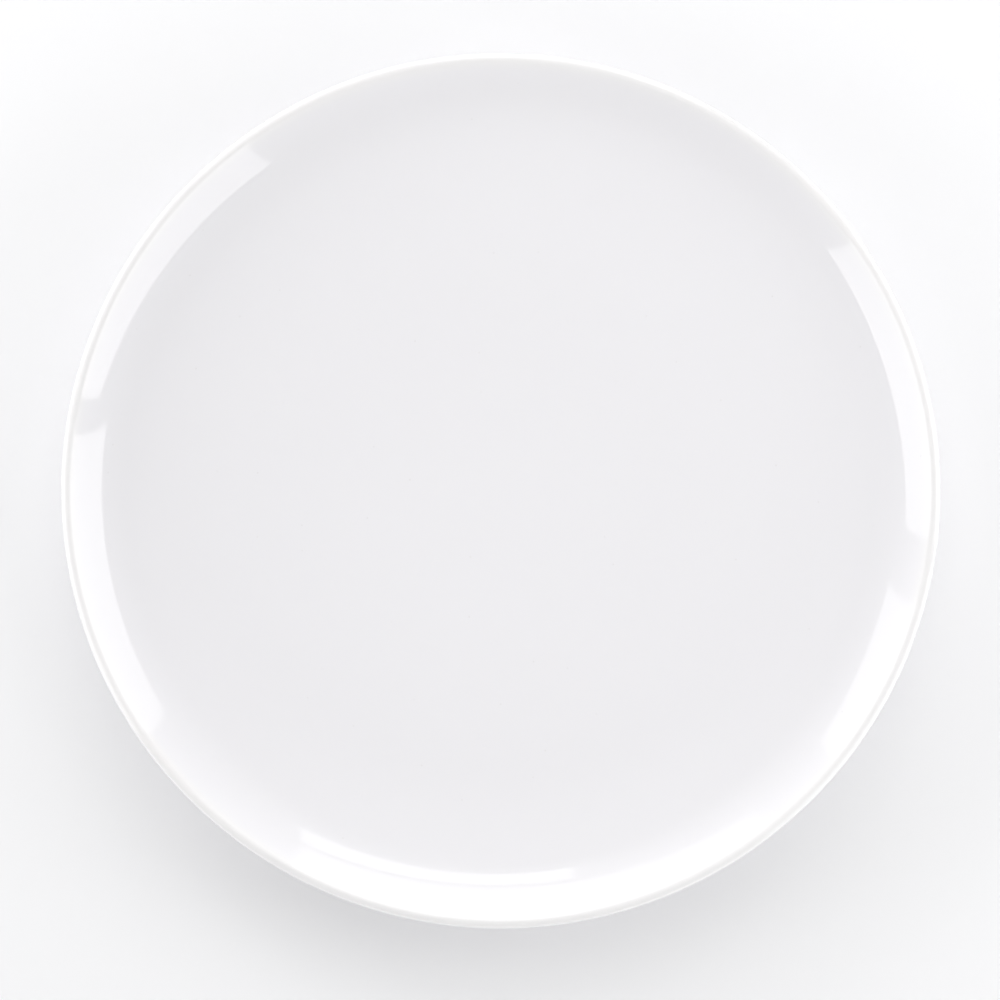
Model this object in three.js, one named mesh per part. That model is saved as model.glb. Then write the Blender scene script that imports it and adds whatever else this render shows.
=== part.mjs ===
// Round coupe serving platter in white glazed porcelain.
// Millimetres, +Z up. The origin is on the table, in the middle of the foot ring.
// Each piece is a half section, with radius across and height up, revolved about the platter's axis.
import * as THREE from 'three';

// The platter, measured over the glaze
const PLATTER_DIAMETER = 305;
const PLATTER_HEIGHT = 26;
const LIP_THICKNESS = 4.5;

// The dish: a flat floor, a shallow well curve and an upturned wall, measured over the glaze
const FLOOR_DIAMETER = 120;
const WELL_DEPTH = 16.5;
const WALL_CURVE_RADIUS = 32;
const WALL_SLOPE = THREE.MathUtils.degToRad(46);

// The ware's thickness over the glaze, in the middle of the floor and where the back leaves the foot
const FLOOR_THICKNESS = 5.5;
const SHOULDER_THICKNESS = 5.2;

// The foot ring: a flat land on the table, a bare rounding each side of it, and sides that flare upwards
const FOOT_DIAMETER = 190;
const FOOT_LAND_WIDTH = 3;
const FOOT_EDGE_RADIUS = 1.2;
const FOOT_ROOT_WIDTH = 14;
const FLARE_HANDLE = 0.55; // share of a flare's leg that its handle takes, as in a quarter ellipse

// The glaze, and the clearance left where its solid seats on the porcelain that it is fused to
const GLAZE_THICKNESS = 0.3;
const GLAZE_CLEARANCE = 0.02;

// Facets of the curves: the most that a chord stands off its arc, and the segments in a full turn
const CHORD_SAG = 0.08;
const FLARE_STEPS = 4;
const TURN_SEGMENTS = 64;

const QUARTER_TURN = Math.PI / 2;

// A unit vector along a line that rises at the given slope, and the one square to it on its upper side
const along = (slope) => new THREE.Vector2(Math.cos(slope), Math.sin(slope));
const above = (slope) => new THREE.Vector2(-Math.sin(slope), Math.cos(slope));
const offset = (point, direction, distance) => point.clone().addScaledVector(direction, distance);

// A curve's points, each with the normal on the left of the way that it runs
function sample(curve, steps) {
  return Array.from({ length: steps + 1 }, (_, i) => {
    const tangent = curve.getTangent(i / steps);
    return { point: curve.getPoint(i / steps), normal: new THREE.Vector2(-tangent.y, tangent.x) };
  });
}

// An arc about a centre, from one angle to another, as finely as the chord sag asks
function arc(centre, radius, fromAngle, toAngle) {
  const widestStep = 2 * Math.acos(1 - Math.min(CHORD_SAG / radius, 1));
  const steps = Math.max(2, Math.ceil(Math.abs(toAngle - fromAngle) / widestStep));
  const clockwise = toAngle < fromAngle;
  const curve = new THREE.EllipseCurve(centre.x, centre.y, radius, radius, fromAngle, toAngle, clockwise);
  return sample(curve, steps);
}

// An arc that hangs below its centre, given by the slopes at its ends
const slopeArc = (centre, radius, fromSlope, toSlope) => (
  arc(centre, radius, fromSlope - QUARTER_TURN, toSlope - QUARTER_TURN)
);

// Two tangent arcs that climb from a start to an end with the given slopes there.
// The upper arc has the given radius. The slope where they meet, and the lower arc's radius, close the curve.
function dishCurve(start, startSlope, end, endSlope, upperRadius) {
  const run = end.x - start.x;
  const rise = end.y - start.y;
  const upperRun = (slope) => upperRadius * (Math.sin(endSlope) - Math.sin(slope));
  const upperRise = (slope) => upperRadius * (Math.cos(slope) - Math.cos(endSlope));
  const meanSlope = Math.atan2(rise - upperRise(startSlope), run - upperRun(startSlope));
  const meetSlope = 2 * meanSlope - startSlope;
  const lowerRadius = (run - upperRun(meetSlope)) / (Math.sin(meetSlope) - Math.sin(startSlope));
  return {
    meetSlope,
    lowerRadius,
    lowerCentre: offset(start, above(startSlope), lowerRadius),
    upperCentre: offset(end, above(endSlope), upperRadius),
  };
}

// The rounded lip, which the inner and outer walls leave at the same slope
const lipCentre = new THREE.Vector2(
  PLATTER_DIAMETER / 2 - LIP_THICKNESS / 2,
  PLATTER_HEIGHT - LIP_THICKNESS / 2,
);
const bodyLipRadius = LIP_THICKNESS / 2 - GLAZE_THICKNESS;

// The porcelain under the glaze, inside the dish
const floorHeight = PLATTER_HEIGHT - WELL_DEPTH - GLAZE_THICKNESS;
const floorEdge = new THREE.Vector2(FLOOR_DIAMETER / 2, floorHeight);
const innerWallRadius = WALL_CURVE_RADIUS + GLAZE_THICKNESS;
const inside = dishCurve(
  floorEdge, 0, offset(lipCentre, above(WALL_SLOPE), bodyLipRadius), WALL_SLOPE, innerWallRadius,
);

// The back leaves the foot alongside the well curve and meets the lip alongside the wall curve
const footRadius = FOOT_DIAMETER / 2;
const backRadius = inside.lowerRadius + SHOULDER_THICKNESS - 2 * GLAZE_THICKNESS;
const backSlope = Math.asin((footRadius + FOOT_ROOT_WIDTH / 2 - floorEdge.x) / backRadius);
const backStart = offset(inside.lowerCentre, above(backSlope), -backRadius);
const outerWallRadius = WALL_CURVE_RADIUS + LIP_THICKNESS - GLAZE_THICKNESS;
const outside = dishCurve(
  backStart, backSlope, offset(lipCentre, above(WALL_SLOPE), -bodyLipRadius), WALL_SLOPE, outerWallRadius,
);

// Sides of the foot ring: from the bare rounding straight up, then flaring into the base or the back
const bareHalfWidth = FOOT_LAND_WIDTH / 2 + FOOT_EDGE_RADIUS;
const baseHeight = PLATTER_HEIGHT - WELL_DEPTH - FLOOR_THICKNESS + GLAZE_THICKNESS;
const outerBareEdge = new THREE.Vector2(footRadius + bareHalfWidth, FOOT_EDGE_RADIUS);
const innerBareEdge = new THREE.Vector2(footRadius - bareHalfWidth, FOOT_EDGE_RADIUS);
const baseEdge = new THREE.Vector2(footRadius - FOOT_ROOT_WIDTH / 2, baseHeight);
const upwards = above(0);

function flare(root, rootDirection, bareEdge) {
  const sideLeg = FLARE_HANDLE * (root.y - bareEdge.y);
  const rootLeg = FLARE_HANDLE * Math.abs(root.x - bareEdge.x);
  return [root, offset(root, rootDirection, rootLeg), offset(bareEdge, upwards, sideLeg), bareEdge];
}
const outerFlare = flare(backStart, along(backSlope).negate(), outerBareEdge);
const innerFlare = flare(baseEdge, along(0), innerBareEdge).reverse();

// A stretch of the section, without the points that repeat where one curve meets the next
const SAME_POINT = 1e-6;
const stretch = (...curves) => curves.flat().filter(
  ({ point }, i, all) => i === 0 || point.distanceTo(all[i - 1].point) > SAME_POINT,
);

// The glazed stretch from the middle of the floor over the lip to the foot's bare edge.
// The lip has a point on its crest and on its widest circle, which set the platter's height and diameter.
const outerStretch = stretch(
  sample(new THREE.LineCurve(new THREE.Vector2(0, floorHeight), floorEdge), 1),
  slopeArc(inside.lowerCentre, inside.lowerRadius, 0, inside.meetSlope),
  slopeArc(inside.upperCentre, innerWallRadius, inside.meetSlope, WALL_SLOPE),
  arc(lipCentre, bodyLipRadius, WALL_SLOPE + QUARTER_TURN, QUARTER_TURN),
  arc(lipCentre, bodyLipRadius, QUARTER_TURN, 0),
  arc(lipCentre, bodyLipRadius, 0, WALL_SLOPE - QUARTER_TURN),
  slopeArc(outside.upperCentre, outerWallRadius, WALL_SLOPE, outside.meetSlope),
  slopeArc(outside.lowerCentre, outside.lowerRadius, outside.meetSlope, backSlope),
  sample(new THREE.CubicBezierCurve(...outerFlare), FLARE_STEPS),
);

// The bare stretch: the land that stands on the table and the rounding on each side of it
const outerRounding = new THREE.Vector2(footRadius + FOOT_LAND_WIDTH / 2, FOOT_EDGE_RADIUS);
const innerRounding = new THREE.Vector2(footRadius - FOOT_LAND_WIDTH / 2, FOOT_EDGE_RADIUS);
const bareStretch = stretch(
  arc(outerRounding, FOOT_EDGE_RADIUS, 0, -QUARTER_TURN),
  arc(innerRounding, FOOT_EDGE_RADIUS, -QUARTER_TURN, -2 * QUARTER_TURN),
);

// The glazed stretch inside the foot ring, from its bare edge to the middle of the base
const baseStretch = stretch(
  sample(new THREE.CubicBezierCurve(...innerFlare), FLARE_STEPS),
  sample(new THREE.LineCurve(baseEdge, new THREE.Vector2(0, baseHeight)), 1),
);

// A solid of revolution. Its section starts and ends on the axis and runs with the solid on its left.
function revolved(name, section, material) {
  const mesh = new THREE.Mesh(new THREE.LatheGeometry(section, TURN_SEGMENTS), material);
  mesh.name = name;
  return mesh;
}

// Faces along a stretch: the porcelain, the glaze's seat on it and the glaze's outer face
const faceAt = (samples, height) => samples.map(({ point, normal }) => offset(point, normal, height));
const porcelainFace = (samples) => faceAt(samples, 0);
const glazeSeat = (samples) => faceAt(samples, GLAZE_CLEARANCE);
const glazeFace = (samples) => faceAt(samples, GLAZE_THICKNESS);

// One fired piece, with its foot ring
const porcelainBody = revolved(
  'porcelain_body',
  porcelainFace(stretch(outerStretch, bareStretch, baseStretch)).reverse(),
  new THREE.MeshStandardMaterial({ color: 0xe9e6df, roughness: 0.85, metalness: 0 }),
);

// The coat over the dish, the lip and the back, down to the bare foot
const outerGlaze = revolved(
  'outer_glaze',
  [...glazeSeat(outerStretch), ...glazeFace(outerStretch).reverse()],
  new THREE.MeshStandardMaterial({ color: 0xf0eff2, roughness: 0.08, metalness: 0 }),
);

// The coat on the base, which the bare foot cuts off from the rest
const baseGlaze = revolved(
  'base_glaze',
  [...glazeFace(baseStretch).reverse(), ...glazeSeat(baseStretch)],
  new THREE.MeshStandardMaterial({ color: 0xf0eff2, roughness: 0.08, metalness: 0 }),
);

// A lathe turns about its own Y axis, which the group stands upright
const platter = new THREE.Group();
platter.add(porcelainBody, outerGlaze, baseGlaze);
platter.rotation.x = QUARTER_TURN;

export default platter;
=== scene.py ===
import bpy
import numpy as np
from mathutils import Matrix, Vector
from numpy.polynomial import Polynomial


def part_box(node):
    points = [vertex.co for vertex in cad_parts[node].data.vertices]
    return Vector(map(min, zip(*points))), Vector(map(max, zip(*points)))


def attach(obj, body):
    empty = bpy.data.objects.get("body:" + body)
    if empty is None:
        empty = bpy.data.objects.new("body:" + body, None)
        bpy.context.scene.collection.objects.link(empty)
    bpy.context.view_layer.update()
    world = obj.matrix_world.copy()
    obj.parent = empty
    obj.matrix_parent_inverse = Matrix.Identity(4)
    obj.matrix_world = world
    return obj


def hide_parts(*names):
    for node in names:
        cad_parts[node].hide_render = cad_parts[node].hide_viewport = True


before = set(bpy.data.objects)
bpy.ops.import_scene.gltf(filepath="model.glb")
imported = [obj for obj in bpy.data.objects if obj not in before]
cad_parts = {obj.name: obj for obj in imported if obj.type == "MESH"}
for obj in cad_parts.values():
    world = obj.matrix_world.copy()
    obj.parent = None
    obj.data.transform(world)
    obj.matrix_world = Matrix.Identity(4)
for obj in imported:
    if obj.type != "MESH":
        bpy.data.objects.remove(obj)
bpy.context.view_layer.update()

# Porcelain body
# One roller-formed piece of hard white porcelain: floor, well, wall, lip and foot ring together. It is fired
# under a glaze that hides it all but for the foot ring's band, which is wiped and ground bare to stand on.
MM = 0.001
RIM_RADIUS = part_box("outer_glaze")[1][0]
RIM_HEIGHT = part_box("outer_glaze")[1][2]
LIP_THICKNESS = 4.5 * MM
FLOOR_RADIUS = 60 * MM  # of the flat middle
WELL_DEPTH = 16.5 * MM  # from the top of the lip to the floor
WALL_CURVE = 32 * MM  # radius of the wall's curve
WALL_SLOPE = np.radians(46)  # where the wall meets the lip
FLOOR_THICKNESS = 5.5 * MM
SHOULDER_THICKNESS = 5.2 * MM
FOOT_RADIUS = 95 * MM  # to the middle of the foot ring
FOOT_LAND = 3 * MM  # width of the flat that it stands on
FOOT_ROUNDING = 1.2 * MM
FOOT_ROOT = 14 * MM  # width of the foot ring where it leaves the base
FLARE_HANDLE = 0.55
FLARE_POINTS = 19
GLAZE = 0.3 * MM  # thickness of the coat

POINT_SPACING = 1.5 * MM
POINT_TURN = np.radians(5)
SAME_POINT = 0.001 * MM
TURN_STEPS = 240
QUARTER = np.pi / 2


def along(slope):
    """The direction in the section, as (radius, height), of a line that climbs outwards at a slope."""
    return np.array([np.cos(slope), np.sin(slope)])


def above(slope):
    """The direction square to that line, on its upper side."""
    return np.array([-np.sin(slope), np.cos(slope)])


def straight(start, end):
    """Evenly spaced points on a straight line."""
    steps = int(np.ceil(np.hypot(*(end - start)) / POINT_SPACING))
    return start + (end - start) * np.linspace(0, 1, steps + 1)[:, None]


def arc(centre, radius, start, end):
    """Points on a circle about a centre: centre + radius (cos a, sin a), with a from start to end."""
    turn = abs(end - start)
    steps = int(np.ceil(max(turn / POINT_TURN, turn * radius / POINT_SPACING)))
    angle = np.linspace(start, end, steps + 1)
    return centre + radius * np.stack([np.cos(angle), np.sin(angle)], axis=1)


def flare(root, root_direction, bare_edge):
    """Cubic curve from the foot ring's root, along the given direction, down to its upright bare edge."""
    root_leg = FLARE_HANDLE * abs(root[0] - bare_edge[0])
    side_leg = FLARE_HANDLE * (root[1] - bare_edge[1])
    handles = np.array([
        root, root + root_leg * root_direction, bare_edge + side_leg * above(0), bare_edge])
    t = np.linspace(0, 1, FLARE_POINTS)[:, None]
    weights = np.hstack([(1 - t) ** 3, 3 * t * (1 - t) ** 2, 3 * t ** 2 * (1 - t), t ** 3])
    return weights @ handles


def climb(start, start_slope, end, end_slope, upper_radius):
    """Two tangent arcs from start to end, as the slope where they meet, the lower radius and both centres.

    The upper arc's radius is given. The slope where they meet and the lower arc's radius close the curve.
    """
    run, rise = end - start
    mean = np.arctan2(
        rise - upper_radius * (np.cos(start_slope) - np.cos(end_slope)),
        run - upper_radius * (np.sin(end_slope) - np.sin(start_slope)),
    )
    meet = 2 * mean - start_slope
    upper_run = upper_radius * (np.sin(end_slope) - np.sin(meet))
    lower_radius = (run - upper_run) / (np.sin(meet) - np.sin(start_slope))
    lower_centre = start + lower_radius * above(start_slope)
    upper_centre = end + upper_radius * above(end_slope)
    return meet, lower_radius, lower_centre, upper_centre


def joined(*curves):
    """One line of points from curves that follow each other, without the points that repeat."""
    points = np.vstack(curves)
    apart = np.hypot(*np.diff(points, axis=0).T) > SAME_POINT
    return points[np.concatenate([[True], apart])]


lip_centre = np.array([RIM_RADIUS - LIP_THICKNESS / 2, RIM_HEIGHT - LIP_THICKNESS / 2])
lip_radius = LIP_THICKNESS / 2 - GLAZE
floor_height = RIM_HEIGHT - WELL_DEPTH - GLAZE
floor_edge = np.array([FLOOR_RADIUS, floor_height])
wall_radius = WALL_CURVE + GLAZE
well_meet, well_radius, well_centre, wall_centre = climb(
    floor_edge, 0, lip_centre + lip_radius * above(WALL_SLOPE), WALL_SLOPE, wall_radius)

shoulder_radius = well_radius + SHOULDER_THICKNESS - 2 * GLAZE
back_slope = np.arcsin((FOOT_RADIUS + FOOT_ROOT / 2 - FLOOR_RADIUS) / shoulder_radius)
back_start = well_centre - shoulder_radius * above(back_slope)
back_wall_radius = WALL_CURVE + LIP_THICKNESS - GLAZE
back_meet, back_radius, back_centre, back_wall_centre = climb(
    back_start, back_slope, lip_centre - lip_radius * above(WALL_SLOPE), WALL_SLOPE, back_wall_radius)

base_height = RIM_HEIGHT - WELL_DEPTH - FLOOR_THICKNESS + GLAZE
base_edge = np.array([FOOT_RADIUS - FOOT_ROOT / 2, base_height])
bare_half = FOOT_LAND / 2 + FOOT_ROUNDING
outer_bare_edge = np.array([FOOT_RADIUS + bare_half, FOOT_ROUNDING])
inner_bare_edge = np.array([FOOT_RADIUS - bare_half, FOOT_ROUNDING])

outer_line = joined(
    straight(np.array([0, floor_height]), floor_edge),
    arc(well_centre, well_radius, -QUARTER, well_meet - QUARTER),
    arc(wall_centre, wall_radius, well_meet - QUARTER, WALL_SLOPE - QUARTER),
    arc(lip_centre, lip_radius, WALL_SLOPE + QUARTER, WALL_SLOPE - QUARTER),
    arc(back_wall_centre, back_wall_radius, WALL_SLOPE - QUARTER, back_meet - QUARTER),
    arc(back_centre, back_radius, back_meet - QUARTER, back_slope - QUARTER),
    flare(back_start, -along(back_slope), outer_bare_edge),
)
foot_line = joined(
    arc(np.array([FOOT_RADIUS + FOOT_LAND / 2, FOOT_ROUNDING]), FOOT_ROUNDING, 0, -QUARTER),
    arc(np.array([FOOT_RADIUS - FOOT_LAND / 2, FOOT_ROUNDING]), FOOT_ROUNDING, -QUARTER, -2 * QUARTER),
)
base_line = joined(
    straight(np.array([0, base_height]), base_edge),
    flare(base_edge, along(0), inner_bare_edge),
)

# Fired porcelain sags a little between its supports, so the rim rises and falls by tenths of a millimetre
# outside the foot ring, which was ground flat. Each wave has its height and its phase by its count of lobes.
WARP = {2: (0.10 * MM, 0.7), 3: (0.06 * MM, 2.1), 5: (0.03 * MM, 4.0)}


def kiln_warp(radius, angle):
    """Height that the firing adds: waves round the turn, growing as the square of the way past the foot."""
    way_out = np.clip((radius - FOOT_RADIUS) / (RIM_RADIUS - FOOT_RADIUS), 0, 1) ** 2
    waves = sum(size * np.cos(lobes * angle + phase) for lobes, (size, phase) in WARP.items())
    return way_out * waves


turn_angle = np.linspace(0, 2 * np.pi, TURN_STEPS, endpoint=False)[:, None]


def revolve(name, radius, height):
    """Closed surface of revolution. On the ray at angle i, point j is at radius[i, j] and height[i, j].

    The section's first and last points are on the axis, where each becomes one vertex.
    """
    height = height + kiln_warp(radius, turn_angle)
    rings = np.stack([radius * np.cos(turn_angle), radius * np.sin(turn_angle), height], axis=2)[:, 1:-1]
    count = rings.shape[1]
    poles = [[0, 0, height[0, 0]], [0, 0, height[0, -1]]]
    vertices = np.vstack([rings.reshape(-1, 3), poles])
    first_pole, last_pole = len(vertices) - 2, len(vertices) - 1
    here = np.arange(TURN_STEPS)[:, None] * count + np.arange(count)
    there = np.roll(here, -1, axis=0)
    quads = np.stack([here[:, :-1], there[:, :-1], there[:, 1:], here[:, 1:]], axis=2).reshape(-1, 4)
    first = np.full(TURN_STEPS, first_pole)
    last = np.full(TURN_STEPS, last_pole)
    first_fan = np.stack([first, there[:, 0], here[:, 0]], axis=1)
    last_fan = np.stack([here[:, -1], there[:, -1], last], axis=1)
    mesh = bpy.data.meshes.new(name)
    mesh.from_pydata(vertices, [], quads.tolist() + first_fan.tolist() + last_fan.tolist())
    mesh.polygons.foreach_set("use_smooth", np.ones(len(mesh.polygons), dtype=bool))
    piece = bpy.data.objects.new(name, mesh)
    bpy.context.scene.collection.objects.link(piece)
    return piece


def all_round(line):
    """A section's radii and heights, repeated for every step of the turn."""
    return [np.tile(column, (TURN_STEPS, 1)) for column in line.T]


def linear(colour):
    """An sRGB hex colour as linear RGBA."""
    srgb = np.array([int(colour[i:i + 2], 16) for i in (1, 3, 5)]) / 255
    return (*np.where(srgb <= 0.04045, srgb / 12.92, ((srgb + 0.055) / 1.055) ** 2.4), 1.0)


def add(material, kind, inputs, **settings):
    """Add a node with its settings. Each input is a value for its socket or another node's output to link."""
    node = material.node_tree.nodes.new(kind)
    for name, value in settings.items():
        setattr(node, name, value)
    for socket, value in inputs.items():
        if isinstance(value, bpy.types.NodeSocket):
            material.node_tree.links.new(value, node.inputs[socket])
        else:
            node.inputs[socket].default_value = value
    return node


def new_material(name):
    """An empty node material with its output, and the output node."""
    material = bpy.data.materials.new(name)
    material.use_nodes = True
    material.node_tree.nodes.clear()
    return material, add(material, "ShaderNodeOutputMaterial", {})


body_line = joined(base_line, foot_line[::-1], outer_line[::-1])
porcelain_body = revolve("porcelain_body_fine", *all_round(body_line))

# Bare hard porcelain, ground on the foot: a dry, faintly warm white with grinding rings and fine grit.
bare, bare_output = new_material("bare_porcelain")
bare_place = add(bare, "ShaderNodeTexCoord", {}).outputs["Object"]
level_place = add(bare, "ShaderNodeVectorMath", {0: bare_place, 1: (1, 1, 0)}, operation="MULTIPLY")
from_axis = add(bare, "ShaderNodeVectorMath", {0: level_place.outputs["Vector"]}, operation="LENGTH")
GRIND = 0.4 * MM  # the spacing of the rings
grind = add(bare, "ShaderNodeTexNoise", {
    "W": from_axis.outputs["Value"], "Scale": 1 / GRIND, "Detail": 2.0}, noise_dimensions="1D")
grind_bump = add(bare, "ShaderNodeBump", {
    "Strength": 0.5, "Distance": 0.02 * MM, "Height": grind.outputs["Fac"]})
GRIT = 0.35 * MM  # about the size of the grains
grit = add(bare, "ShaderNodeTexNoise", {"Vector": bare_place, "Scale": 1 / GRIT, "Detail": 3.0})
SMUDGE = 9 * MM  # the width of a patch rubbed darker by use
smudge = add(bare, "ShaderNodeTexNoise", {"Vector": bare_place, "Scale": 1 / SMUDGE, "Detail": 4.0})
smudge_share = add(bare, "ShaderNodeMapRange", {
    "Value": smudge.outputs["Fac"], "From Min": 0.45, "From Max": 0.75, "To Min": 0.0, "To Max": 0.5})
bare_colour = add(bare, "ShaderNodeMix", {
    "Factor": smudge_share.outputs["Result"], "A": linear("#E9E6DF"),
    "B": linear("#D6D1C8")}, data_type="RGBA")
bare_bump = add(bare, "ShaderNodeBump", {
    "Strength": 0.6, "Distance": 0.04 * MM, "Height": grit.outputs["Fac"],
    "Normal": grind_bump.outputs["Normal"]})
bare_shader = add(bare, "ShaderNodeBsdfPrincipled", {
    "Base Color": bare_colour.outputs["Result"], "Roughness": 0.85, "IOR": 1.5,
    "Normal": bare_bump.outputs["Normal"]})
bare.node_tree.links.new(bare_shader.outputs["BSDF"], bare_output.inputs["Surface"])

porcelain_body.data.materials.append(bare)
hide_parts("porcelain_body")
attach(porcelain_body, "root")

# Outer glaze
# The glassy coat over the dish, the lip and the back. It is poured on, draws thin over the lip, pools in the
# hollow above the foot, and ends in a rounded edge where it was sponged off the foot before the firing.
LIP_DRAW = 0.30  # share of the coat that is lost on the lip
DRAW_REACH = 3 * MM
HOLLOW_POOL = 0.35  # share that is gained in the hollow
POOL_REACH = 4 * MM
EDGE_BEAD = 0.8 * MM  # how far in the edge's rounding starts
EDGE_BARE = 0.7 * MM  # sponged off, on average, above the foot's rounding
EDGE_REACH = 7 * MM  # how far in the edge's wandering starts
SEAT_CLEARANCE = 0.02 * MM
# The sponged edge wanders as waves round the turn. Each has its size and its phase by its count of lobes.
SPONGE = {4: (0.12 * MM, 0.3), 9: (0.09 * MM, 1.9), 17: (0.07 * MM, 5.1), 31: (0.05 * MM, 2.6)}


def coat(name, line, side, sponge_phase):
    """A coat of glaze on a line of the section that runs from the axis to the foot's bare edge.

    It lies on the line's left (side 1) or right (side -1). Its outer face is off the porcelain along the
    normal, by the coat's thickness times the local depth. Its edge wanders along the line as waves round the
    turn, and its thickness there falls off as a quarter ellipse.
    """
    steps = np.hypot(*np.diff(line, axis=0).T)
    length = np.concatenate([[0], np.cumsum(steps)])
    tangent = np.gradient(line, length, axis=0)
    tangent /= np.hypot(*tangent.T)[:, None]
    normal = side * np.stack([-tangent[:, 1], tangent[:, 0]], axis=1)
    normal[0] = (0, side)

    wander = EDGE_BARE + sum(
        size * np.cos(lobes * turn_angle + phase + sponge_phase) for lobes, (size, phase) in SPONGE.items())
    near_edge = np.clip((length - (length[-1] - EDGE_REACH)) / EDGE_REACH, 0, 1)
    way = length - wander * near_edge ** 2 * (3 - 2 * near_edge)
    to_edge = np.clip((way[:, -1:] - way) / EDGE_BEAD, 0, 1)
    bead = np.sqrt(1 - (1 - to_edge) ** 2)

    crest = length[np.argmax(line[:, 1])]
    depth = 1 - LIP_DRAW * np.exp(-((way - crest) / DRAW_REACH) ** 2) * (side > 0)
    depth = depth + HOLLOW_POOL * np.exp(-((way - (length[-1] - POOL_REACH)) / POOL_REACH) ** 2)
    depth = depth * bead

    def on(values):
        """Values of the line's points, at the wandered ways along it."""
        return np.interp(way, length, values)

    seat_radius, seat_height = on(line[:, 0]), on(line[:, 1])
    across, up = on(normal[:, 0]), on(normal[:, 1])
    thickness = np.maximum(GLAZE * depth, SEAT_CLEARANCE)
    face_radius, face_height = seat_radius + thickness * across, seat_height + thickness * up
    seat_radius, seat_height = seat_radius + SEAT_CLEARANCE * across, seat_height + SEAT_CLEARANCE * up
    back = slice(-2, None, -1)
    radius = np.hstack([face_radius, seat_radius[:, back]])
    height = np.hstack([face_height, seat_height[:, back]])
    depth = np.hstack([depth, depth[:, back]])
    if side > 0:
        radius, height, depth = radius[:, ::-1], height[:, ::-1], depth[:, ::-1]
    piece = revolve(name, radius, height)
    glaze_depth = piece.data.attributes.new("glaze_depth", "FLOAT", "POINT")
    glaze_depth.data.foreach_set(
        "value", np.concatenate([depth[:, 1:-1].ravel(), depth[0, [0, -1]]]).astype(np.float32))
    return piece


outer_glaze = coat("outer_glaze_fine", outer_line, side=1, sponge_phase=0.0)

# Clear feldspar glaze over white porcelain: a hard gloss with a slow ripple, cool white where it lies full
# and a warmer, more open white where it is thin, with a few kiln specks so faint that they hardly show. On
# the lip that lighter thin white is partly a painted highlight, which lifts the dark line along the crest.
glaze, glaze_output = new_material("white_porcelain_glaze")
glaze_place = add(glaze, "ShaderNodeTexCoord", {}).outputs["Object"]
glaze_depth = add(glaze, "ShaderNodeAttribute", {}, attribute_name="glaze_depth").outputs["Fac"]
# The glaze's depth picks its colour: lighter and warmer where it is thin. On the lip this is partly real
# thinning and partly a painted highlight on the crest.
fullness = add(glaze, "ShaderNodeMapRange", {"Value": glaze_depth, "From Min": 0.5, "From Max": 1.05})
thin_glaze_and_lip_highlight_colour = add(glaze, "ShaderNodeMix", {
    "Factor": fullness.outputs["Result"], "A": linear("#F5F4F2"),
    "B": linear("#F0EFF2")}, data_type="RGBA")
CLOUD = 35 * MM  # the width of a patch where the glaze came out a shade greyer or duller
cloud = add(glaze, "ShaderNodeTexNoise", {"Vector": glaze_place, "Scale": 1 / CLOUD, "Detail": 3.0})
cloud_share = add(glaze, "ShaderNodeMapRange", {
    "Value": cloud.outputs["Fac"], "From Min": 0.35, "From Max": 0.65, "To Min": 0.0, "To Max": 0.06})
clouded = add(glaze, "ShaderNodeMix", {
    "Factor": cloud_share.outputs["Result"], "A": thin_glaze_and_lip_highlight_colour.outputs["Result"],
    "B": linear("#ECEBEE")}, data_type="RGBA")
gloss = add(glaze, "ShaderNodeMapRange", {
    "Value": cloud.outputs["Fac"], "From Min": 0.35, "From Max": 0.65, "To Min": 0.035, "To Max": 0.05})
SPECK_SPACING = 9 * MM  # in all three directions, so that few of them come to the surface
SPECK_RADIUS = 0.4 * MM
SPECK_CORE = 0.16 * MM  # radius inside which a speck is at its darkest
speck = add(glaze, "ShaderNodeTexVoronoi", {"Vector": glaze_place, "Scale": 1 / SPECK_SPACING})
speck_share = add(glaze, "ShaderNodeMapRange", {
    "Value": speck.outputs["Distance"], "From Min": SPECK_CORE / SPECK_SPACING,
    "From Max": SPECK_RADIUS / SPECK_SPACING, "To Min": 0.16, "To Max": 0.0})
specked = add(glaze, "ShaderNodeMix", {
    "Factor": speck_share.outputs["Result"], "A": clouded.outputs["Result"],
    "B": linear("#B8B2AA")}, data_type="RGBA")
RIPPLE = 14 * MM  # from crest to crest
ripple = add(glaze, "ShaderNodeTexNoise", {"Vector": glaze_place, "Scale": 1 / RIPPLE, "Detail": 1.5})
glaze_bump = add(glaze, "ShaderNodeBump", {
    "Strength": 1.0, "Distance": 0.012 * MM, "Height": ripple.outputs["Fac"]})
glaze_shader = add(glaze, "ShaderNodeBsdfPrincipled", {
    "Base Color": specked.outputs["Result"], "Roughness": gloss.outputs["Result"], "IOR": 1.52,
    "Normal": glaze_bump.outputs["Normal"]})
glaze.node_tree.links.new(glaze_shader.outputs["BSDF"], glaze_output.inputs["Surface"])

outer_glaze.data.materials.append(glaze)
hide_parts("outer_glaze")
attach(outer_glaze, "root")

# Base glaze
# The same coat on the base inside the foot ring. The bare band of the foot cuts it off from the outer glaze,
# and its edge was sponged clean the same way.
base_glaze = coat("base_glaze_fine", base_line, side=-1, sponge_phase=1.3)
base_glaze.data.materials.append(glaze)
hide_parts("base_glaze")
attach(base_glaze, "root")

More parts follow.
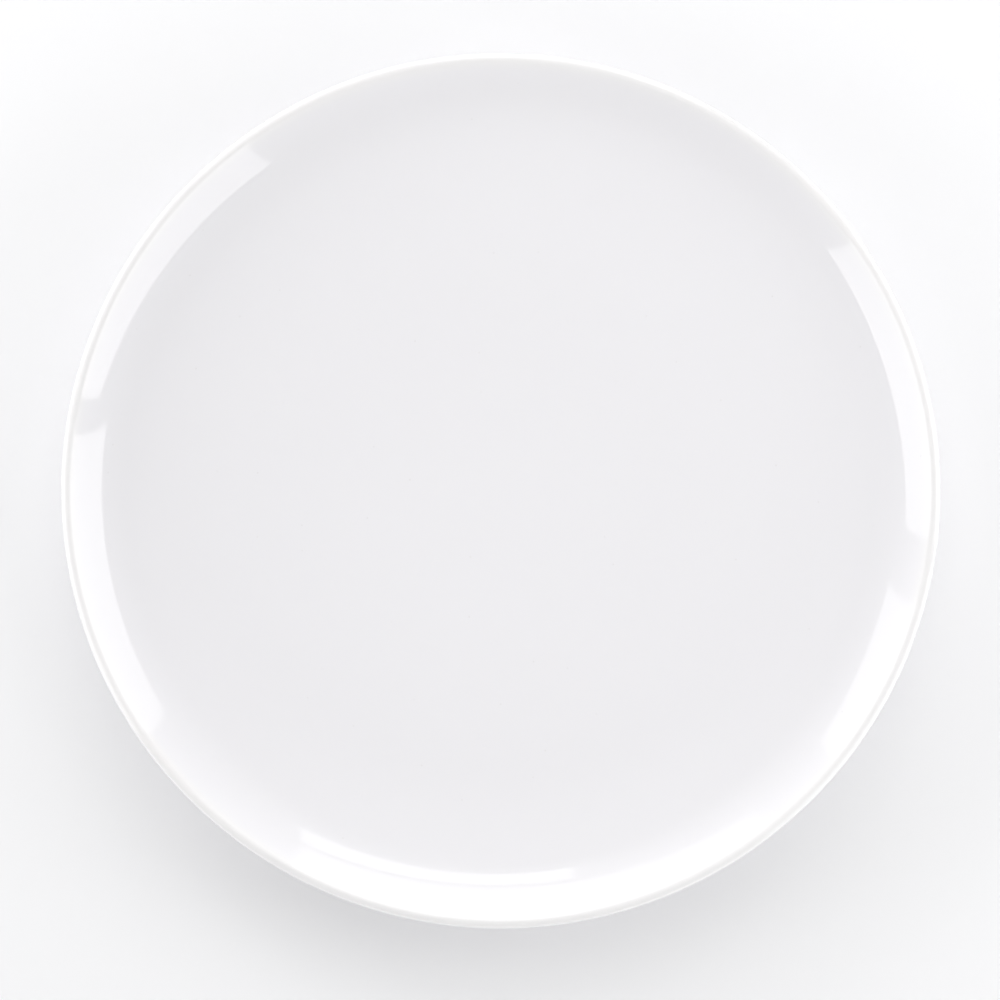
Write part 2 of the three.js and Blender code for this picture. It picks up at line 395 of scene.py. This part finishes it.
# Floor
# A plain sheet of matt white paper under the platter, in metres. It takes the platter's soft shadow near by,
# and farther out it is seen as plain white.
FLOOR_REACH = 12.0
SHADOW_FADES_FROM, SHADOW_FADES_TO = 0.45, 1.0
floor_mesh = bpy.data.meshes.new("floor")
floor_mesh.from_pydata(
    [(-FLOOR_REACH, -FLOOR_REACH, 0), (FLOOR_REACH, -FLOOR_REACH, 0),
     (FLOOR_REACH, FLOOR_REACH, 0), (-FLOOR_REACH, FLOOR_REACH, 0)], [], [(0, 1, 2, 3)])
floor = bpy.data.objects.new("floor", floor_mesh)
bpy.context.scene.collection.objects.link(floor)
paper, paper_output = new_material("white_paper")
paper_place = add(paper, "ShaderNodeTexCoord", {}).outputs["Object"]
from_middle = add(paper, "ShaderNodeVectorMath", {0: paper_place}, operation="LENGTH")
far = add(paper, "ShaderNodeMapRange", {
    "Value": from_middle.outputs["Value"], "From Min": SHADOW_FADES_FROM, "From Max": SHADOW_FADES_TO},
    interpolation_type="SMOOTHSTEP")
ray = add(paper, "ShaderNodeLightPath", {})
mirrored = add(paper, "ShaderNodeMath", {
    0: ray.outputs["Is Glossy Ray"], 1: ray.outputs["Is Transmission Ray"]}, operation="MAXIMUM")
seen = add(paper, "ShaderNodeMath", {
    0: ray.outputs["Is Camera Ray"], 1: mirrored.outputs["Value"]}, operation="MAXIMUM")
seen_far = add(paper, "ShaderNodeMath", {
    0: seen.outputs["Value"], 1: far.outputs["Result"]}, operation="MULTIPLY")
sheet = add(paper, "ShaderNodeBsdfDiffuse", {"Color": linear("#F8F8F9")})
white = add(paper, "ShaderNodeEmission", {"Color": (1, 1, 1, 1), "Strength": 1.0})
paper_shader = add(paper, "ShaderNodeMixShader", {
    0: seen_far.outputs["Value"], 1: sheet.outputs["BSDF"], 2: white.outputs["Emission"]})
paper.node_tree.links.new(paper_shader.outputs["Shader"], paper_output.inputs["Surface"])
floor.data.materials.append(paper)

# Lamps
# Soft boxes low down round the platter, three higher ones on the north and east that cast its shadow, and one
# overhead, in metres. They light it without being mirrored in it. East is +X and north is +Y.
LAMP_DISTANCE = 1.2
LOW_BOX = (0.7, 0.5)
HIGH_BOX = (0.7, 0.7)
OVERHEAD_BOX = (1.0, 1.0)
LAMPS = {  # azimuth from the east towards the north, elevation, width and height, and glow, where 1 is white
    "low_east": (0, 15, LOW_BOX, 3.0),
    "low_north": (90, 15, LOW_BOX, 0.6),
    "low_north_west": (135, 15, LOW_BOX, 3.0),
    "low_west": (180, 15, LOW_BOX, 3.2),
    "low_south_west": (225, 15, LOW_BOX, 0.3),
    "low_south_east": (315, 15, LOW_BOX, 1.8),
    "high_east": (0, 35, HIGH_BOX, 0.85),
    "high_north_east": (45, 35, HIGH_BOX, 0.6),
    "high_north": (90, 35, HIGH_BOX, 1.1),
    "overhead": (90, 90, OVERHEAD_BOX, 0.1),
}


def direction(azimuth, elevation):
    """The unit vector from the platter at an azimuth and elevation in degrees."""
    a, e = np.radians(azimuth), np.radians(elevation)
    return np.stack([np.cos(a) * np.cos(e), np.sin(a) * np.cos(e), np.sin(e)], axis=-1)


for name, (azimuth, elevation, (width, height), glow) in LAMPS.items():
    lamp = bpy.data.lights.new(name, "AREA")
    lamp.shape = "RECTANGLE"
    lamp.size, lamp.size_y = width, height
    lamp.energy = glow * np.pi * width * height
    box = bpy.data.objects.new(name, lamp)
    towards = Vector(direction(azimuth, elevation))
    box.location = towards * LAMP_DISTANCE
    box.rotation_mode = "QUATERNION"
    box.rotation_quaternion = (-towards).to_track_quat("-Z", "Y")
    box.visible_camera = False
    box.visible_glossy = False
    bpy.context.scene.collection.objects.link(box)

# Mirrored panels
# Bright upright panels, which the glaze mirrors along its wall and which light nothing. Each is a curtain on
# a circle round the platter. Its edges and its glow are smooth curves through three stations.
PANEL_DISTANCE = 2.0
PANELS = {  # stations: azimuth, elevation of the lower and the upper edge, and glow
    "panel_east": [(-1, 0, 49.5, 2.9), (20, 0, 48, 3.1), (40, 0, 44, 2.4)],
    "panel_north": [(64, 0, 34, 2.4), (93, 0, 46, 2.5), (124, 0, 32, 2.0)],
    "panel_north_upper": [(64, 38, 54, 3.2), (82, 48, 61.5, 3.6), (99, 49.5, 63.5, 3.4)],
    "panel_north_west": [(136, 0, 37.5, 2.1), (147, 0, 46, 2.4), (158, 0, 48.5, 2.4)],
    "panel_west": [(167, 0, 40, 2.3), (188, 0, 45.5, 3.2), (210, 0, 43, 2.9)],
    "panel_south_east": [(310, 0, 51, 2.8), (332, 0, 46, 3.0), (354, 0, 33.5, 3.0)],
}
PANEL_FOOT_GLOW = 0.85  # at the lower edge, as a share of the glow at the upper edge
PANEL_STEPS_PER_DEGREE = 2

# Flags keep the panels off the floor of the dish, which would mirror them in low views and wash out. A panel
# shows in what is nearer to it, or farther from it, than the axis by more than this: the walls and the lip.
FLAG_START, FLAG_END = 95 * MM, 125 * MM
panel_white, panel_output = new_material("panel_white")
panel_glow = add(panel_white, "ShaderNodeAttribute", {}, attribute_name="glow")
panel_place = add(panel_white, "ShaderNodeNewGeometry", {}).outputs["Position"]
panel_height = add(panel_white, "ShaderNodeSeparateXYZ", {"Vector": panel_place}).outputs["Z"]
rise = add(panel_white, "ShaderNodeMath", {0: panel_height, 1: RIM_HEIGHT}, operation="SUBTRACT")
ray_length = add(panel_white, "ShaderNodeLightPath", {}).outputs["Ray Length"]
rise_squared = add(panel_white, "ShaderNodeMath", {0: rise.outputs["Value"], 1: 2.0}, operation="POWER")
length_squared = add(panel_white, "ShaderNodeMath", {0: ray_length, 1: 2.0}, operation="POWER")
run_squared = add(panel_white, "ShaderNodeMath", {
    0: length_squared.outputs["Value"], 1: rise_squared.outputs["Value"]}, operation="SUBTRACT")
run = add(panel_white, "ShaderNodeMath", {0: run_squared.outputs["Value"]}, operation="SQRT")
off_axis = add(panel_white, "ShaderNodeMath", {
    0: run.outputs["Value"], 1: PANEL_DISTANCE}, operation="SUBTRACT")
off_axis_size = add(panel_white, "ShaderNodeMath", {0: off_axis.outputs["Value"]}, operation="ABSOLUTE")
past_flag = add(panel_white, "ShaderNodeMapRange", {
    "Value": off_axis_size.outputs["Value"], "From Min": FLAG_START, "From Max": FLAG_END},
    interpolation_type="SMOOTHSTEP")
panel_light = add(panel_white, "ShaderNodeEmission", {
    "Color": (1, 1, 1, 1), "Strength": panel_glow.outputs["Fac"]})
room_behind = add(panel_white, "ShaderNodeBsdfTransparent", {})
panel_shader = add(panel_white, "ShaderNodeMixShader", {
    0: past_flag.outputs["Result"], 1: room_behind.outputs["BSDF"], 2: panel_light.outputs["Emission"]})
panel_white.node_tree.links.new(panel_shader.outputs["Shader"], panel_output.inputs["Surface"])
for name, stations in PANELS.items():
    azimuth, low, high, glow = np.array(stations, dtype=float).T
    count = int(PANEL_STEPS_PER_DEGREE * (azimuth[-1] - azimuth[0]))
    fine = np.linspace(azimuth[0], azimuth[-1], count)
    curves = [Polynomial.fit(azimuth, values, len(azimuth) - 1) for values in (low, high, glow)]
    low, high, glow = (curve(fine) for curve in curves)
    turn = np.radians(fine)
    edges = [
        np.stack([np.cos(turn), np.sin(turn), np.tan(np.radians(edge))], axis=1) for edge in (low, high)]
    column = np.arange(count - 1)
    quads = np.stack([column, column + 1, count + column + 1, count + column], axis=1)
    panel_mesh = bpy.data.meshes.new(name)
    panel_mesh.from_pydata(PANEL_DISTANCE * np.vstack(edges) + [0, 0, RIM_HEIGHT], [], quads.tolist())
    panel_mesh.attributes.new("glow", "FLOAT", "POINT").data.foreach_set(
        "value", np.concatenate([PANEL_FOOT_GLOW * glow, glow]).astype(np.float32))
    panel_mesh.materials.append(panel_white)
    panel = bpy.data.objects.new(name, panel_mesh)
    panel.visible_camera = False
    panel.visible_diffuse = False
    panel.visible_shadow = False
    bpy.context.scene.collection.objects.link(panel)

# Backdrop
# The pale room round the platter, which lights it softly and is mirrored in its glaze: brighter to the north
# and south than to the sides, and dim overhead where the camera stands. The camera sees it as plain white.
SKY = {  # degrees from the zenith: strength to the north, east, south and west
    0: (0.7, 0.7, 0.7, 0.7),
    11: (0.1, 0.3, 0.8, 0.3),
    20: (0.9, 0.4, 0.8, 0.4),
    35: (1.3, 0.3, 0.7, 0.2),
    60: (1.1, 0.2, 0.9, 0.4),
    82: (1.0, 0.5, 1.3, 0.9),
}
SIDES = [(0, 1, 0), (1, 0, 0), (0, -1, 0), (-1, 0, 0)]
world = bpy.data.worlds.new("backdrop")
bpy.context.scene.world = world
world.use_nodes = True
world.node_tree.nodes.clear()
sky_way = add(world, "ShaderNodeTexCoord", {}).outputs["Generated"]
sky_height = add(world, "ShaderNodeSeparateXYZ", {"Vector": sky_way}).outputs["Z"]
from_zenith = add(world, "ShaderNodeMath", {0: sky_height}, operation="ARCCOSINE")
zenith_share = add(world, "ShaderNodeMath", {
    0: from_zenith.outputs["Value"], 1: QUARTER}, operation="DIVIDE")
level_way = add(world, "ShaderNodeVectorMath", {0: sky_way, 1: (1, 1, 0)}, operation="MULTIPLY")
heading = add(world, "ShaderNodeVectorMath", {0: level_way.outputs["Vector"]}, operation="NORMALIZE")
strength = 0.0
for side, levels in zip(SIDES, np.array(list(SKY.values())).T):
    ramp = add(world, "ShaderNodeValToRGB", {"Fac": zenith_share.outputs["Value"]})
    stops = ramp.color_ramp.elements
    stops.remove(stops[1])
    for degrees, level in zip(SKY, levels):
        position = np.radians(degrees) / QUARTER
        stop = stops.new(position) if degrees else stops[0]
        stop.position = position
        stop.color = (level, level, level, 1)
    # The four sides blend by the squared cosines of the angles to them, which add up to one
    towards_side = add(world, "ShaderNodeVectorMath", {
        0: heading.outputs["Vector"], 1: side}, operation="DOT_PRODUCT")
    facing = add(world, "ShaderNodeMath", {0: towards_side.outputs["Value"], 1: 0.0}, operation="MAXIMUM")
    share = add(world, "ShaderNodeMath", {0: facing.outputs["Value"], 1: 2.0}, operation="POWER")
    sum_so_far = add(world, "ShaderNodeMath", {
        0: ramp.outputs["Color"], 1: share.outputs["Value"], 2: strength}, operation="MULTIPLY_ADD")
    strength = sum_so_far.outputs["Value"]
camera_ray = add(world, "ShaderNodeLightPath", {}).outputs["Is Camera Ray"]
sky_seen = add(world, "ShaderNodeMath", {0: strength, 1: camera_ray}, operation="MAXIMUM")
background = add(world, "ShaderNodeBackground", {
    "Color": (1, 1, 1, 1), "Strength": sky_seen.outputs["Value"]})
add(world, "ShaderNodeOutputWorld", {"Surface": background.outputs["Background"]})

# Camera
# Almost straight above, on the -Y side, as far off as a long lens needs to frame the platter as photographed.
VIEW_ELEVATION = np.radians(85)
IMAGE_SIZE = 1000
RIM_PIXELS = 439.5  # radius of the rim in the photograph
RIM_MIDDLE_PIXEL = (500.8, 485.0)
LENS_MM = 100
SENSOR_MM = 36
metres_per_pixel = RIM_RADIUS / RIM_PIXELS
off_middle = Vector((
    (IMAGE_SIZE / 2 - RIM_MIDDLE_PIXEL[0]) * metres_per_pixel,
    (RIM_MIDDLE_PIXEL[1] - IMAGE_SIZE / 2) * metres_per_pixel * np.sin(VIEW_ELEVATION),
    (RIM_MIDDLE_PIXEL[1] - IMAGE_SIZE / 2) * metres_per_pixel * np.cos(VIEW_ELEVATION),
))
towards_camera = Vector((0, -np.cos(VIEW_ELEVATION), np.sin(VIEW_ELEVATION)))
camera_data = bpy.data.cameras.new("camera")
camera_data.lens = LENS_MM
camera_data.sensor_width = SENSOR_MM
camera = bpy.data.objects.new("camera", camera_data)
distance = LENS_MM / SENSOR_MM * IMAGE_SIZE * metres_per_pixel
camera.location = Vector((0, 0, lip_centre[1])) + off_middle + towards_camera * distance
camera.rotation_mode = "QUATERNION"
camera.rotation_quaternion = (-towards_camera).to_track_quat("-Z", "Y")
bpy.context.scene.collection.objects.link(camera)
bpy.context.scene.camera = camera
bpy.context.scene.view_settings.view_transform = "Standard"
